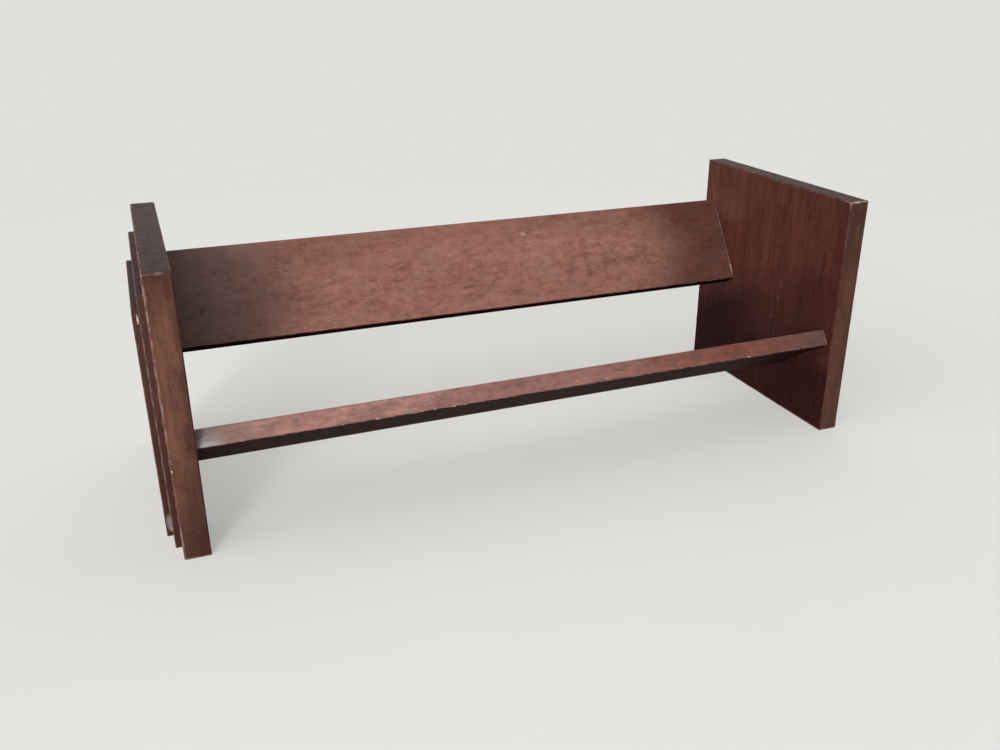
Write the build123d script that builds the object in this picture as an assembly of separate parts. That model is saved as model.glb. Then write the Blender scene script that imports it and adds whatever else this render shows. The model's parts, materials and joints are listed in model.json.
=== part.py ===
from build123d import *
import math
import os

# Desktop book rack in solid wood. Two upright end panels carry a back board that leans backwards and
# a seat rail that slopes down to the back, square to it. Books stand on the rail and lean on the board.
# On the outside of each end panel lie two thin step boards, one on the other. Each is set in from the
# front, the back and the top of the piece below it, and level with it at the foot.
#
# X runs along the rack, Y from front to back and Z up. The origin is on the table, midway between
# the two end panels and midway between their front and back edges. All sizes are in millimetres.

# End panels
BOOK_LENGTH = 457.0  # clear length between the two end panels
END_THICKNESS = 16.0
END_DEPTH = 182.0  # front edge to back edge
END_HEIGHT = 180.0

# Step boards on the outside of each end panel
STEP_THICKNESS = 4.0
STEP_INSET = 15.8  # set in at the front, the back and the top, from one piece to the next

# Lean of the back board from upright, which is also the slope of the seat rail
LEAN_DEGREES = 33.0

# Back board
BACK_BOARD_WIDTH = 72.0
BACK_BOARD_THICKNESS = 12.0
BACK_BOARD_SETBACK = 2.6  # back edge of the end panel to the rearmost corner of the board
BACK_BOARD_DROP = 32.4  # top of the end panel to the highest corner of the board

# Seat rail
SEAT_RAIL_WIDTH = 62.0
SEAT_RAIL_THICKNESS = 12.0
SEAT_RAIL_SETBACK = 4.1  # front edge of the end panel to the foremost corner of the rail
SEAT_RAIL_HEIGHT = 70.4  # table to that foremost corner

# Eased arrises
END_ARRIS_RADIUS = 1.0
STEP_ARRIS_RADIUS = 0.8
BOARD_ARRIS_RADIUS = 0.8

# Countersunk slotted wood screws, two to a joint, driven from outside and hidden by the step boards
SCREW_LENGTH = 38.0
SCREW_HEAD_RADIUS = 4.0
SCREW_HEAD_RIM = 0.3  # straight rim between the flat of the head and its cone
SCREW_SHANK_RADIUS = 2.1
SCREW_SHANK_LENGTH = 13.0  # from the flat of the head to the first thread
SCREW_CORE_RADIUS = 1.4
SCREW_THREAD_PITCH = 1.7
SCREW_TIP_LENGTH = 5.0
SCREW_SLOT_WIDTH = 1.1
SCREW_SLOT_DEPTH = 1.2
SCREW_HOLE_CLEARANCE = 0.15  # between the shank and its hole in the end panel
SCREW_EDGE_DISTANCE = 14.0  # from the first screw of a joint to the edge of its board
SCREW_SPACING = 30.0  # first screw of a joint to its second

SAME_PLACE = 0.01  # faces and edges closer together than this are in one plane
HALF_TURN = 180.0
LEFT = -1
RIGHT = 1

LEAN = math.radians(LEAN_DEGREES)
INNER_FACE = BOOK_LENGTH / 2  # middle of the rack to the inside of an end panel
OUTER_FACE = INNER_FACE + END_THICKNESS
FRONT_EDGE = -END_DEPTH / 2
BACK_EDGE = END_DEPTH / 2

# Each leaning board has a place whose origin is the board's lower front corner. From there the
# place's Z axis runs up the lean, and its Y axis runs square to that, backwards and down.
back_board_depth = BACK_BOARD_WIDTH * math.sin(LEAN) + BACK_BOARD_THICKNESS * math.cos(LEAN)
back_board_front = BACK_EDGE - BACK_BOARD_SETBACK - back_board_depth
back_board_low = END_HEIGHT - BACK_BOARD_DROP - BACK_BOARD_WIDTH * math.cos(LEAN)
seat_rail_front = FRONT_EDGE + SEAT_RAIL_SETBACK
BACK_BOARD_PLACE = Pos(0, back_board_front, back_board_low) * Rot(-LEAN_DEGREES, 0, 0)
SEAT_RAIL_PLACE = Pos(0, seat_rail_front, SEAT_RAIL_HEIGHT) * Rot(-LEAN_DEGREES, 0, 0)


def on_side(side, shape):
    """The shape itself for the right end, or its mirror image for the left end."""
    if side == RIGHT:
        return shape
    return mirror(shape, about=Plane.YZ)


def upright_board(inner_x, thickness, depth, height):
    """A board of the right end that stands on the table, from inner_x outwards."""
    board = Box(thickness, depth, height, align=(Align.MIN, Align.CENTER, Align.MIN))
    return Pos(inner_x, 0, 0) * board


def end_panel():
    """The right end panel without its screw holes. All its arrises are eased but those at the foot."""
    panel = upright_board(INNER_FACE, END_THICKNESS, END_DEPTH, END_HEIGHT)
    arrises = [edge for edge in panel.edges() if edge.center().Z > SAME_PLACE]
    return fillet(arrises, END_ARRIS_RADIUS)


def step_board(step):
    """Step board 1 or 2 of the right end. The arrises of its outer face are eased but for the foot."""
    glued_face = OUTER_FACE + (step - 1) * STEP_THICKNESS
    inset = step * STEP_INSET
    board = upright_board(glued_face, STEP_THICKNESS, END_DEPTH - 2 * inset, END_HEIGHT - inset)
    off_the_table = [edge for edge in board.edges() if edge.center().Z > SAME_PLACE]
    arrises = [edge for edge in off_the_table if edge.center().X > glued_face + SAME_PLACE]
    return fillet(arrises, STEP_ARRIS_RADIUS)


def leaning_board(place, across, up):
    """A board from end panel to end panel, with the sizes across and up along its place's Y and Z."""
    board = Box(BOOK_LENGTH, across, up, align=(Align.CENTER, Align.MIN, Align.MIN))
    return place * fillet(board.edges().filter_by(Axis.X), BOARD_ARRIS_RADIUS)


def turned(profile):
    """The round solid about the X axis whose outline runs through (distance along, radius) points."""
    outline = Polyline(*[(along, 0, radius) for along, radius in profile], close=True)
    return revolve(make_face(outline), Axis.X)


def head_profile(shank_radius):
    """The flat, rim and cone of a countersunk head, down to a shank of the given radius."""
    cone_end = SCREW_HEAD_RIM + SCREW_HEAD_RADIUS - shank_radius
    return [(0, 0), (0, SCREW_HEAD_RADIUS), (SCREW_HEAD_RIM, SCREW_HEAD_RADIUS), (cone_end, shank_radius)]


def unslotted_screw():
    """A wood screw along +X with the flat of its head at the origin. Its threads are plain rings."""
    profile = head_profile(SCREW_SHANK_RADIUS)
    profile.append((SCREW_SHANK_LENGTH, SCREW_SHANK_RADIUS))
    thread_length = SCREW_LENGTH - SCREW_TIP_LENGTH - SCREW_SHANK_LENGTH
    crest = SCREW_SHANK_LENGTH
    for turn in range(int(thread_length / SCREW_THREAD_PITCH)):
        valley = crest + SCREW_THREAD_PITCH / 2
        crest = crest + SCREW_THREAD_PITCH
        profile += [(valley, SCREW_CORE_RADIUS), (crest, SCREW_SHANK_RADIUS)]
    profile += [(crest + SCREW_THREAD_PITCH / 2, SCREW_CORE_RADIUS), (SCREW_LENGTH, 0)]
    return turned(profile)


def screw():
    """The finished screw, with a slot across its head."""
    return unslotted_screw() - Box(2 * SCREW_SLOT_DEPTH, 2 * SCREW_HEAD_RADIUS, SCREW_SLOT_WIDTH)


def screw_hole():
    """The countersunk clearance hole that a screw takes through an end panel."""
    shank_radius = SCREW_SHANK_RADIUS + SCREW_HOLE_CLEARANCE
    return turned(head_profile(shank_radius) + [(END_THICKNESS, shank_radius), (END_THICKNESS, 0)])


def screw_places(board_place, spots):
    """Where a joint's screws go at the right end, for (y, z) spots in the place of its board."""
    places = []
    for across, up in spots:
        head = (board_place * Pos(OUTER_FACE, across, up)).position
        places.append(Pos(head.X, head.Y, head.Z) * Rot(0, 0, HALF_TURN))
    return places


# The screws are nearer to the edge of each board that faces the middle of the end panel.
from_edge = [SCREW_EDGE_DISTANCE, SCREW_EDGE_DISTANCE + SCREW_SPACING]
back_spots = [(BACK_BOARD_THICKNESS / 2, distance) for distance in from_edge]
rail_spots = [(SEAT_RAIL_WIDTH - distance, SEAT_RAIL_THICKNESS / 2) for distance in from_edge]
back_screws = screw_places(BACK_BOARD_PLACE, back_spots)
rail_screws = screw_places(SEAT_RAIL_PLACE, rail_spots)

pieces = {
    "back_board": leaning_board(BACK_BOARD_PLACE, BACK_BOARD_THICKNESS, BACK_BOARD_WIDTH),
    "seat_rail": leaning_board(SEAT_RAIL_PLACE, SEAT_RAIL_WIDTH, SEAT_RAIL_THICKNESS),
}

for side, end in ((LEFT, "left"), (RIGHT, "right")):
    drilled_panel = end_panel()
    for place in back_screws + rail_screws:
        drilled_panel -= place * screw_hole()
    pieces[f"end_panel_{end}"] = on_side(side, drilled_panel)
    pieces[f"inner_step_board_{end}"] = on_side(side, step_board(1))
    pieces[f"outer_step_board_{end}"] = on_side(side, step_board(2))
    for board, places in (("back_board", back_screws), ("seat_rail", rail_screws)):
        for place in places:
            pieces[board] -= on_side(side, place * unslotted_screw())
        screws = [on_side(side, place * screw()).solid() for place in places]
        pieces[f"{board}_screws_{end}"] = Compound(screws)

os.makedirs("parts", exist_ok=True)
for name, piece in pieces.items():
    export_step(piece, f"parts/{name}.step")
    print(f"{name}: {len(piece.solids())} solids, {piece.volume:.0f} mm3")
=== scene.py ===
"""Desktop book rack in stained and varnished mahogany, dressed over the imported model."""

import json
import math
import random

import bmesh
import bpy
from mathutils import Euler, Matrix, Vector

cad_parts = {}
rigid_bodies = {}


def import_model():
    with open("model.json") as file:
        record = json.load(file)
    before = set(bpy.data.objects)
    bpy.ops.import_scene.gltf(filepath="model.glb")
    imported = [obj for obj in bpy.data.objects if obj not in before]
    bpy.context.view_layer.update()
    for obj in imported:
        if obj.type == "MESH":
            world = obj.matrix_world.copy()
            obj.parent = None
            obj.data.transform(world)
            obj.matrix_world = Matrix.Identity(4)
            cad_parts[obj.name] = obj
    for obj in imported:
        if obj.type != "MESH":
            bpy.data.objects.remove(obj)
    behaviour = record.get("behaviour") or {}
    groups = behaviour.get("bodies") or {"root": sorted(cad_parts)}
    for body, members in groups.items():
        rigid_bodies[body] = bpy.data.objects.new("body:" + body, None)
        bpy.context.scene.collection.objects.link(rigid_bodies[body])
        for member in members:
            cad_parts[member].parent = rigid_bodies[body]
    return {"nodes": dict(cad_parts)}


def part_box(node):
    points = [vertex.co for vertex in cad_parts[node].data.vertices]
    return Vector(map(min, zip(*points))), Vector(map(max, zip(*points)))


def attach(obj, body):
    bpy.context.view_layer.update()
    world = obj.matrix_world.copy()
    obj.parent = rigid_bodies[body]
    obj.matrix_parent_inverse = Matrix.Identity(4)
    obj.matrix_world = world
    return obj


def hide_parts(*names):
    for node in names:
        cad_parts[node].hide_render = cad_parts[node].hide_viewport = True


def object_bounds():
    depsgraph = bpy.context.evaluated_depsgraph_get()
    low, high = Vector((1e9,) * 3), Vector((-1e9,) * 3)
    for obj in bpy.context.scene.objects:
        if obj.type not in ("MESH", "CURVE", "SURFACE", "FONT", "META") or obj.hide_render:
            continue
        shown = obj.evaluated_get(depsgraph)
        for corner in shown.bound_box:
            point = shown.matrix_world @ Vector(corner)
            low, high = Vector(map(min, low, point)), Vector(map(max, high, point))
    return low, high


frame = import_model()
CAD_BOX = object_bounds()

bl_info = {
    "name": "Desktop Book Rack",
    "version": (1, 0, 0),
    "blender": (4, 5, 0),
    "location": "View3D > Sidebar > Book Rack",
    "description": "Builds a wooden desktop book rack, its finishes and a plain studio",
    "category": "Object",
}

MM = 0.001
QUARTER_TURN = math.pi / 2
SIDES = ("left", "right")
JOINTS = ("back_board", "seat_rail")  # the boards that are screwed to the end panels
FOOT = (0, -1)  # a face of a board, as its axis and its side
BUTT_ENDS = {(0, -1), (0, 1)}
IMAGE_WIDTH = 1000  # pixels, of the photograph's frame
IMAGE_HEIGHT = 750
SENSOR_WIDTH = 36.0  # millimetres
HORIZON = 0.87  # how bright the pale floor and the surroundings show where they meet

# Kinds of shader node that are used more than once
COORDINATES = "ShaderNodeTexCoord"
MAP_RANGE = "ShaderNodeMapRange"
MAPPING = "ShaderNodeMapping"
MATH = "ShaderNodeMath"
MIX = "ShaderNodeMix"
NOISE = "ShaderNodeTexNoise"
SEPARATE = "ShaderNodeSeparateXYZ"
VECTOR_MATH = "ShaderNodeVectorMath"

# Settings of nodes that are used more than once
OF_COLOURS = {"data_type": "RGBA"}
SMOOTH = {"interpolation_type": "SMOOTHSTEP"}
TIMES = {"operation": "MULTIPLY"}
TIMES_PLUS = {"operation": "MULTIPLY_ADD"}
LOWEST = {"operation": "MINIMUM"}
HIGHEST = {"operation": "MAXIMUM"}

# Inputs of a Mix node that mixes colours
SHARE = 0
FIRST = 6
SECOND = 7


def linear(hex_colour):
    """An sRGB colour such as "#7a4330" as the three linear values that Blender works in."""
    levels = [int(hex_colour[at : at + 2], 16) / 255 for at in (1, 3, 5)]
    return tuple(
        level / 12.92 if level <= 0.04045 else ((level + 0.055) / 1.055) ** 2.4 for level in levels
    )


def colour_property(name, description, hex_colour):
    """A colour that a user can pick, with its default given as an sRGB hex value."""
    return bpy.props.FloatVectorProperty(
        name=name,
        description=description,
        subtype="COLOR",
        size=3,
        min=0.0,
        max=1.0,
        default=linear(hex_colour),
    )


def length_property(name, description, millimetres):
    """A length that a user can change, with its default given in millimetres."""
    return bpy.props.FloatProperty(
        name=name,
        description=description,
        subtype="DISTANCE",
        unit="LENGTH",
        precision=5,
        min=0.0,
        default=millimetres * MM,
    )


def angle_property(name, description, degrees):
    """An angle that a user can change, with its default given in degrees."""
    return bpy.props.FloatProperty(
        name=name, description=description, subtype="ANGLE", default=math.radians(degrees)
    )


def number_property(name, description, default):
    """A plain number that a user can change."""
    return bpy.props.FloatProperty(name=name, description=description, default=default)


class RackSizes(bpy.types.PropertyGroup):
    """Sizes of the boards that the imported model's boxes don't give on their own."""

    lean: angle_property("Lean", "Lean of the back board from upright, slope of the rail", 33.0)
    back_width: length_property("Back board width", "Width of the leaning back board", 72.0)
    back_thickness: length_property("Back board thickness", "Thickness of the back board", 12.0)
    rail_width: length_property("Seat rail width", "Width of the sloping seat rail", 62.0)
    rail_thickness: length_property("Seat rail thickness", "Thickness of the seat rail", 12.0)
    end_arris: length_property("End arris", "Rounding of the end panels' arrises", 1.0)
    board_arris: length_property("Board arris", "Rounding of the other boards' arrises", 0.8)
    arris_wear: length_property("Arris wear", "Deepest hollow worn into an arris", 0.15)
    loop_spacing: length_property("Loop spacing", "Distance between the edge loops of a board", 4.0)
    screw_head_radius: length_property("Screw head radius", "Radius of a countersunk head", 4.0)
    screw_head_rim: length_property("Screw head rim", "Straight rim of a countersunk head", 0.3)
    screw_shank_radius: length_property("Screw shank radius", "Radius of a screw's shank", 2.1)
    screw_length: length_property("Screw length", "Length of a wood screw", 38.0)
    screw_clearance: length_property("Screw clearance", "Gap round a screw in its hole", 0.15)
    glue_width: length_property("Glue width", "Width of the glue squeezed out of a joint", 1.5)


class RackColours(bpy.types.PropertyGroup):
    """Colours of the stained wood, its wear, the painted shade and light, and the plain studio."""

    end_dark: colour_property("End, dark grain", "Dark streaks of the upright boards", "#3f211b")
    end_light: colour_property("End, light grain", "Light streaks of the upright boards", "#704a3e")
    inside_dark: colour_property("Inside, dark grain", "Dark streaks inside the ends", "#3f211c")
    inside_light: colour_property("Inside, light grain", "Light streaks inside the ends", "#663a30")
    edge_dark: colour_property("Edge, dark grain", "Dark grain of the front edges", "#4a3029")
    edge_light: colour_property("Edge, light grain", "Light grain of the front edges", "#7b5344")
    edge_olive: colour_property("Edge, olive", "Built-up polish on the front edges", "#402a23")
    back_dark: colour_property("Back, dark grain", "Dark grain of the back board", "#714b41")
    back_light: colour_property("Back, light grain", "Faded grain of the back board", "#ae7d70")
    rail_dark: colour_property("Seat rail, dark grain", "Dark grain of the seat rail", "#865f57")
    rail_light: colour_property("Seat rail, light grain", "Faded grain of the seat rail", "#b08178")
    # Partly painted shade, where the light falls off towards the right end of the seat rail
    rail_right_and_shade: colour_property("Seat rail, right end", "Its less faded right end", "#69382c")
    smoky: colour_property("Smoky patches", "Greyed patches of the faded boards", "#7c6a60")
    # Painted shade: the dark colour painted into the lower inside of the end panels, the lower edge
    # of the back board and the underside of the seat rail
    painted_shade: colour_property("Unfaded stain", "Stain that no daylight has reached", "#230606")
    pore: colour_property("Pores", "Dark filler in the open pores", "#351d19")
    film: colour_property("Worn film", "Grey film on the left end of the seat rail", "#8f8a8a")
    # Grime on the seat rail, and painted shade beside the right end panel
    grime_and_shade: colour_property("Grime", "Grime in the right corner of the seat rail", "#594a45")
    # Grey wear on the end panels and steps. On the left end of the back board this grey is painted
    # light, in the left end panel's shadow
    grey_wear_and_shade_light: colour_property("Haze", "Dusty haze on the left end of the back board", "#8f8280")
    dust: colour_property("Dust", "Pale dust in the lower left corner of the seat rail", "#a9a7a9")
    worn: colour_property("Worn arris", "Wood where the finish has rubbed off", "#a5877c")
    bare: colour_property("Bare wood", "Fresh wood inside a nick", "#c09c8c")
    chalky: colour_property("Chalky wood", "Wood inside the whitish nicks of the ends", "#c6bcb2")
    glue: colour_property("Glue", "Squeezed-out glue, dried", "#7a635b")
    warm: colour_property("Warm patches", "Orange-brown patches of the back board", "#ad7660")
    end_grain: colour_property("End grain", "Stained end grain of the sawn tops", "#36201e")
    step: colour_property("Step boards", "Dull polish of the step boards", "#48312e")
    floor: colour_property("Floor", "Plain pale floor", "#f0efec")


class RackStage(bpy.types.PropertyGroup):
    """Camera and lamps."""

    lens_pixels: number_property("Focal length", "In pixels of a frame 1000 pixels wide", 941.24)
    yaw: angle_property("Yaw", "Turn of the view to the right", 22.43)
    pitch: angle_property("Pitch", "Tilt of the view downwards", 22.75)
    roll: angle_property("Roll", "Turn of the view about its own axis", -0.22)
    camera_place: bpy.props.FloatVectorProperty(
        name="Camera",
        description="Place of the camera",
        subtype="TRANSLATION",
        unit="LENGTH",
        default=(-0.24223, -0.61215, 0.3273),
    )
    centre_x: number_property("View centre X", "Pixel column that the camera looks at", 517.22)
    centre_y: number_property("View centre Y", "Pixel row that the camera looks at", 370.38)
    key_distance: length_property("Key distance", "Distance of the lamps from the rack", 3000.0)
    key_width: length_property("Key width", "Diameter of the soft key lamp", 870.0)
    key_strength: number_property("Key light", "In watts to the square metre at the rack", 1.6)
    side_strength: number_property("Side light", "Broad soft light from the left", 1.95)
    fill_strength: number_property("Fill light", "Soft light from the right", 0.5)
    rear_strength: number_property("Rear light", "Soft light from behind and above", 0.7)
    room_strength: number_property("Room light", "Even light from all round", 0.16)
    floor_lift: number_property(
        "Floor lift", "Share of its plain colour that the floor shows whatever its light", 0.4
    )


# Nodes and materials


def set_inputs(tree, node, inputs):
    """Sets inputs of a node.

    An input is a constant, an output to link from, or a node whose first output in use is linked.
    """
    for key, value in inputs.items():
        socket = node.inputs[key]
        if isinstance(value, bpy.types.Node):
            value = next(output for output in value.outputs if output.enabled)
        if isinstance(value, bpy.types.NodeSocket):
            tree.links.new(value, socket)
        elif socket.type == "RGBA":
            socket.default_value = (*value[:3], 1.0)
        else:
            socket.default_value = value


def add_node(tree, kind, settings=None, inputs=None):
    """Adds a node with its settings and inputs."""
    node = tree.nodes.new(kind)
    for name, value in (settings or {}).items():
        setattr(node, name, value)
    set_inputs(tree, node, inputs or {})
    return node


def ramp(value, start, full, most=1.0, least=0.0):
    """Inputs of a Map Range node that turns a value into least at its start and most at full."""
    return {0: value, 1: start, 2: full, 3: least, 4: most}


def fade_in(tree, colour, towards, value, start, full, most=1.0, least=0.0):
    """Mixes another colour in softly, the least of it at a value's start and the most at full."""
    share = add_node(tree, MAP_RANGE, SMOOTH, ramp(value, start, full, most, least))
    return add_node(tree, MIX, OF_COLOURS, {SHARE: share, FIRST: colour, SECOND: towards})


def mahogany_figure():
    """The figure of mahogany, for a place in metres whose X runs along the grain."""
    group = bpy.data.node_groups.get("Mahogany figure")
    if group:
        return group
    group = bpy.data.node_groups.new("Mahogany figure", "ShaderNodeTree")
    group.interface.new_socket("Place", in_out="INPUT", socket_type="NodeSocketVector")
    place = add_node(group, "NodeGroupInput").outputs["Place"]
    # The grain wanders by 1 or 2 mm over a hand's width.
    drift = add_node(group, NOISE, None, {"Vector": place, "Scale": 11.0, "Detail": 3.0})
    shift = {0: drift.outputs["Color"], 1: (0.5, 0.5, 0.5)}
    centred = add_node(group, VECTOR_MATH, {"operation": "SUBTRACT"}, shift)
    wander = add_node(group, VECTOR_MATH, TIMES, {0: centred, 1: (0.0, 7 * MM, 7 * MM)})
    grain = add_node(group, VECTOR_MATH, {"operation": "ADD"}, {0: place, 1: wander})
    # Each layer has a number of cells to the metre along the grain and across it.
    layers = {
        "Ribbons": (grain, 7.0, 75.0, 2.0, 0.5),  # 140 mm by 13 mm
        "Streaks": (grain, 38.0, 380.0, 3.0, 0.6),  # 26 mm by 2.6 mm
        # Real fibres are 0.05 mm wide. They are drawn 0.8 mm wide, as fine as the render can show.
        "Fibres": (grain, 250.0, 1250.0, 2.0, 0.6),
        "Ripples": (grain, 520.0, 90.0, 2.0, 0.5),  # 2 mm by 11 mm, across the grain
        "Mottle": (place, 120.0, 200.0, 3.0, 0.7),  # 8 mm by 5 mm
        "Patches": (place, 45.0, 95.0, 3.0, 0.55),  # 22 mm by 10 mm
        "Spots": (place, 120.0, 300.0, 3.0, 0.6),  # 8 mm by 3 mm
        "Clouds": (place, 9.0, 30.0, 2.0, 0.5),  # 110 mm by 33 mm
        "Specks": (place, 260.0, 330.0, 1.0, 0.5),  # 4 mm by 3 mm
        # Real pores are 0.2 mm wide and 3 mm long. They are drawn 1 mm by 9 mm, so that they show.
        "Pores": (grain, 110.0, 950.0, 1.0, 0.5),
    }
    values = {}
    for name, (start, along, across, detail, roughness) in layers.items():
        cells = add_node(group, VECTOR_MATH, TIMES, {0: start, 1: (along, across, across)})
        noise = {"Vector": cells, "Scale": 1.0, "Detail": detail, "Roughness": roughness}
        values[name] = add_node(group, NOISE, None, noise)
    # Pores open in clusters, where the patches are dark.
    cluster = add_node(group, MAP_RANGE, SMOOTH, ramp(values["Patches"], 0.54, 0.42))
    deep = add_node(group, MAP_RANGE, SMOOTH, ramp(values["Pores"], 0.6, 0.72))
    values["Pores"] = add_node(group, MATH, TIMES, {0: deep, 1: cluster})
    values["Specks"] = add_node(group, MAP_RANGE, SMOOTH, ramp(values["Specks"], 0.66, 0.78))
    end = add_node(group, "NodeGroupOutput")
    for name, value in values.items():
        group.interface.new_socket(name, in_out="OUTPUT", socket_type="NodeSocketFloat")
        set_inputs(group, end, {name: value})
    return group


def new_material(name):
    """An empty material with a Principled BSDF. Returns the material, its tree and the shader."""
    material = bpy.data.materials.new(name)
    material.use_nodes = True
    tree = material.node_tree
    tree.nodes.clear()
    shader = add_node(tree, "ShaderNodeBsdfPrincipled")
    add_node(tree, "ShaderNodeOutputMaterial", None, {"Surface": shader})
    return material, tree, shader


def arris_distance(tree, board, place):
    """Distance to the nearest arris: the middle one of the depths below the three nearest faces."""
    folded = add_node(tree, VECTOR_MATH, {"operation": "ABSOLUTE"}, {0: place})
    half_size = tuple(Vector(board["size"]) / 2)
    depths = add_node(tree, VECTOR_MATH, {"operation": "SUBTRACT"}, {0: half_size, 1: folded})
    depth = add_node(tree, SEPARATE, None, {0: depths}).outputs
    lower = add_node(tree, MATH, LOWEST, {0: depth[0], 1: depth[1]})
    higher = add_node(tree, MATH, HIGHEST, {0: depth[0], 1: depth[1]})
    inner = add_node(tree, MATH, LOWEST, {0: higher, 1: depth[2]})
    return add_node(tree, MATH, HIGHEST, {0: lower, 1: inner})


def rubbed_arrises(tree, board, finish, place, in_plank):
    """How far the varnish is rubbed off, from 0 to 1. It is only rubbed beside the arrises."""
    distance = arris_distance(tree, board, place)
    width = finish["wear_width"]
    line = add_node(tree, MAP_RANGE, SMOOTH, ramp(distance, 1.5 * width, 0.5 * width))
    # The rubbed line comes and goes along an arris, over about 6 mm.
    noise = add_node(tree, NOISE, None, {"Vector": in_plank, "Scale": 160.0, "Detail": 3.0})
    rubbing = add_node(tree, MAP_RANGE, SMOOTH, ramp(noise, 0.43, 0.6, least=finish["wear_least"]))
    wear = add_node(tree, MATH, TIMES, {0: line, 1: rubbing})
    # Some finishes are rubbed alike all round, and give a plain number.
    exposure = finish["exposure"]
    if callable(exposure):
        exposure = exposure(tree, board, place)
    return add_node(tree, MATH, TIMES, {0: wear, 1: exposure})


def varnished_mahogany(board, finish):
    """Stained mahogany under a thin rubbed varnish, for one board.

    The streaks and pores of the wood show through a satin skin, which has worn off the arrises.
    """
    colours = bpy.context.scene.rack_colours
    material, tree, shader = new_material(f"{finish['name']}, {board['name']}")

    # The place on the board, from its centre, with X along its length and Z through its thickness
    turn_back = board["turn"].to_matrix().transposed()
    from_centre = {
        "Vector": add_node(tree, COORDINATES).outputs["Object"],
        "Location": tuple(-(turn_back @ board["centre"])),
        "Rotation": tuple(turn_back.to_euler()),
    }
    place = add_node(tree, MAPPING, None, from_centre)
    # The place in the plank that the board was sawn from
    from_plank = {
        "Vector": place,
        "Location": board["plank_place"],
        "Rotation": (0.0, 0.0, -board["grain_slope"]),
    }
    in_plank = add_node(tree, MAPPING, None, from_plank)
    mahogany = {"node_tree": mahogany_figure()}
    figure = add_node(tree, "ShaderNodeGroup", mahogany, {"Place": in_plank}).outputs

    shares = finish["shares"]
    total = 0.5 - sum(shares.values()) / 2
    for layer, share in shares.items():
        total = add_node(tree, MATH, TIMES_PLUS, {0: figure[layer], 1: share, 2: total})
    spread = finish["spread"]
    tone = add_node(tree, MAP_RANGE, None, ramp(total, 0.5 - spread, 0.5 + spread))
    grain = {SHARE: tone, FIRST: finish["dark"], SECOND: finish["light"]}
    colour = add_node(tree, MIX, OF_COLOURS, grain)
    smoky = figure[finish["smoky_layer"]]
    colour = fade_in(tree, colour, colours.smoky, smoky, 0.5, 0.66, most=finish["smoky_share"])
    specks = add_node(tree, MATH, TIMES, {0: figure["Specks"], 1: finish["speck_share"]})
    colour = add_node(tree, MIX, OF_COLOURS, {SHARE: specks, FIRST: colour, SECOND: colours.worn})
    colour = finish["weather"](tree, board, place, figure, tone, colour)
    pores = add_node(tree, MATH, TIMES, {0: figure["Pores"], 1: finish["pore_share"]})
    colour = add_node(tree, MIX, OF_COLOURS, {SHARE: pores, FIRST: colour, SECOND: colours.pore})

    wear = rubbed_arrises(tree, board, finish, place, in_plank)
    colour = add_node(tree, MIX, OF_COLOURS, {SHARE: wear, FIRST: colour, SECOND: finish["worn"]})

    least, most = finish["roughness"]
    polish = add_node(tree, MAP_RANGE, None, ramp(figure["Mottle"], 0.35, 0.65, most, least))
    dull = add_node(tree, MATH, TIMES_PLUS, {0: wear, 1: 0.25, 2: polish})
    sunk = add_node(tree, MATH, TIMES_PLUS, {0: figure["Fibres"], 1: -0.5, 2: pores})
    relief = {"Height": sunk, "Strength": finish["relief_share"], "Distance": 0.1 * MM}
    skin = {
        "Base Color": colour,
        "Roughness": dull,
        "Normal": add_node(tree, "ShaderNodeBump", {"invert": True}, relief),
        "IOR": 1.5,
        "Specular IOR Level": finish["specular"],
    }
    set_inputs(tree, shader, skin)
    return material


def bare_mahogany(name, fresh):
    """Unfinished mahogany as a nick lays it open: pale, dry and matt, with broken fibres."""
    material = bpy.data.materials.get(name)
    if material:
        return material
    material, tree, shader = new_material(name)
    place = add_node(tree, COORDINATES).outputs["Object"]
    # Broken fibres are about 0.5 mm across.
    fibres = add_node(tree, NOISE, None, {"Vector": place, "Scale": 1800.0, "Detail": 2.0})
    colour = fade_in(tree, bpy.context.scene.rack_colours.worn, fresh, fibres, 0.3, 0.6)
    set_inputs(tree, shader, {"Base Color": colour, "Roughness": 0.8})
    return material


def dried_glue():
    """Hide glue that has squeezed out of a joint and dried: greyish amber with a slight shine."""
    colours = bpy.context.scene.rack_colours
    material, tree, shader = new_material("Dried hide glue")
    place = add_node(tree, COORDINATES).outputs["Object"]
    height = add_node(tree, SEPARATE, None, {0: place}).outputs["Z"]
    # Dust has settled on it in patches of about 5 mm, most of all on the drop at its lower end.
    dust = add_node(tree, NOISE, None, {"Vector": place, "Scale": 190.0, "Detail": 2.0})
    most = add_node(tree, MAP_RANGE, SMOOTH, ramp(height, 102 * MM, 94 * MM, least=0.45))
    colour = fade_in(tree, linear("#4c3530"), colours.glue, dust, 0.36, 0.62, most=most)
    drop = ((228.5, 44.5, 95.5), (5.0, 5.0, 4.5), 0.0, colours.worn, 0.7)
    colour = leave_marks(tree, place, colour, [drop])
    set_inputs(tree, shader, {"Base Color": colour, "Roughness": 0.6, "Specular IOR Level": 0.3})
    return material


def turned_steel():
    """Bright steel of a turned wood screw, with fine rings from the lathe and a little tarnish."""
    material, tree, shader = new_material("Turned steel")
    place = add_node(tree, COORDINATES).outputs["Object"]
    # Lathe rings are about 0.3 mm apart, and run round the screw, which lies along X.
    along = add_node(tree, VECTOR_MATH, TIMES, {0: place, 1: (3000.0, 60.0, 60.0)})
    rings = add_node(tree, NOISE, None, {"Vector": along, "Scale": 1.0, "Detail": 1.0})
    rough = add_node(tree, MAP_RANGE, None, ramp(rings, 0.0, 1.0, least=0.28, most=0.5))
    tarnish = add_node(tree, NOISE, None, {"Vector": place, "Scale": 400.0, "Detail": 3.0})
    colour = fade_in(tree, linear("#b4b1aa"), linear("#7d776d"), tarnish, 0.45, 0.65)
    set_inputs(tree, shader, {"Base Color": colour, "Metallic": 1.0, "Roughness": rough})
    return material


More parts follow.
